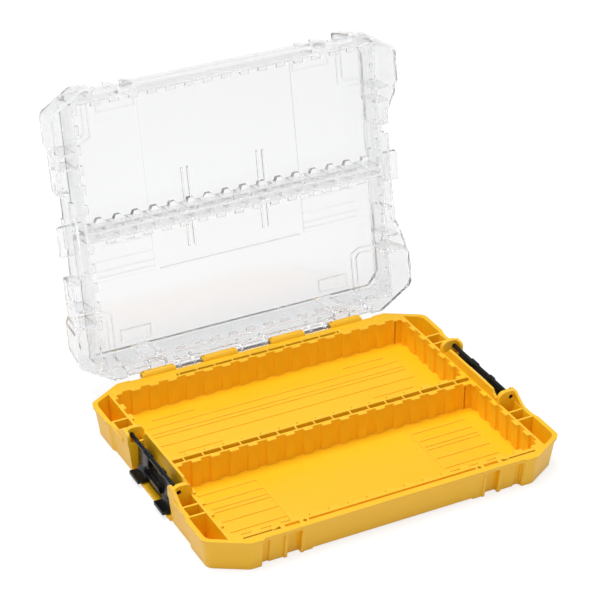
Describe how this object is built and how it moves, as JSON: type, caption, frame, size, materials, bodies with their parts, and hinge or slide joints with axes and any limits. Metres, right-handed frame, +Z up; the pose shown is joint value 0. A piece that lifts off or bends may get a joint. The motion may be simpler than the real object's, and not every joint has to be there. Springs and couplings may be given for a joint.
{
  "type": "bit storage case",
  "caption": "Shallow two-bay storage case with a hinged clear lid and a swinging hook latch on each side, shown open.",
  "frame": {"origin": "centre of the tray's underside, on the surface it rests on", "axes": "+Z up, +X to the right along the hinge, +Y from the front wall back to the hinge"},
  "size_m": [0.24, 0.2524, 0.2096],
  "materials": {
    "tray_plastic": "fine satin",
    "lid_plastic": "clear polished",
    "latch_plastic": "satin",
    "rod_steel": "drawn"
  },
  "bodies": {
    "tray": {"base_tray": "tray_plastic", "hinge_pin": "rod_steel"},
    "lid": {"clear_lid": "lid_plastic"},
    "left_latch": {"latch_left": "latch_plastic"},
    "right_latch": {"latch_right": "latch_plastic"}
  },
  "joints": [
    {"name": "lid_hinge", "type": "hinge", "parent": "tray", "child": "lid", "pos_m": [0, 0.09635, 0.0212], "axis": [1, 0, 0], "range_deg": [0, 100.8]},
    {"name": "left_latch_pivot", "type": "hinge", "parent": "tray", "child": "left_latch", "pos_m": [-0.1137, 0, 0.0247], "axis": [0, 1, 0], "range_deg": [0, 180]},
    {"name": "right_latch_pivot", "type": "hinge", "parent": "tray", "child": "right_latch", "pos_m": [0.1137, 0, 0.0247], "axis": [0, -1, 0], "range_deg": [0, 180]}
  ]
}
